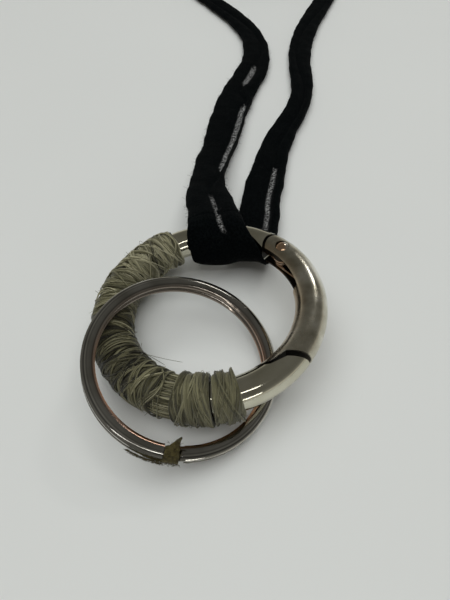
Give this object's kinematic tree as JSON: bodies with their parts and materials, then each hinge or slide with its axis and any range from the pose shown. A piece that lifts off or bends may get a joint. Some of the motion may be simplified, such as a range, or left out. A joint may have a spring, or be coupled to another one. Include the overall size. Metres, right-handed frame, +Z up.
{
  "type": "lanyard",
  "caption": "Neck lanyard: a knitted band looped through a spring gate ring that is bound with plant fibre and linked to a split key ring.",
  "frame": {"origin": "on the table that the lanyard lies on, straight below the centre of the gate ring", "axes": "+Z up from the table; +Y the way the two strands of the neck band run away from the ring; +X towards the gate's side"},
  "size_m": [0.1157, 0.2528, 0.0112],
  "materials": {
    "polished_nickel": "polished nickel plate with fine scratches",
    "worn_nickel": "satin nickel plate, worn by handling",
    "spring_wire": "dull drawn wire with a brown tint",
    "flax_fibre": "dry olive-beige plant fibre in fine strands",
    "split_ring_steel": "grey steel, ground flat and lightly scratched",
    "olive_felt": "fuzzy olive felt",
    "black_knit": "soft matt black knit, stretched and crinkled lengthwise",
    "black_tape": "flat black woven tape"
  },
  "bodies": {
    "ring": {"ring_body": "polished_nickel", "hinge_pin": "worn_nickel", "gate_spring": "spring_wire", "fibre_core": "flax_fibre", "fibre_winding": "flax_fibre", "fibre_bundle_1": "flax_fibre", "fibre_bundle_2": "flax_fibre", "fibre_bundle_3": "flax_fibre"},
    "gate": {"gate": "worn_nickel"},
    "split": {"split_ring": "split_ring_steel", "felt_tag": "olive_felt"},
    "band": {"band_loop": "black_knit", "band_front": "black_knit", "band_back": "black_knit", "band_coil": "black_knit", "band_tie": "black_tape"}
  },
  "joints": [
    {"name": "gate_hinge", "type": "hinge", "parent": "ring", "child": "gate", "pos_m": [0.0135, 0.00678, 0.00716], "axis": [0.1219, 0, -0.9925], "range_deg": [0, 25], "stiffness_Nm_per_rad": 0.003, "springref_deg": -34.38},
    {"name": "split_ring_swing", "type": "hinge", "parent": "ring", "child": "split", "pos_m": [-0.00555, -0.00805, 0.00488], "axis": [0.6428, 0.766, 0], "range_deg": [0, 110]},
    {"name": "band_swing", "type": "hinge", "parent": "ring", "child": "band", "pos_m": [0.00499, 0.01381, 0.00611], "axis": [0.9327, -0.342, 0.1145], "range_deg": [0, 35]}
  ]
}
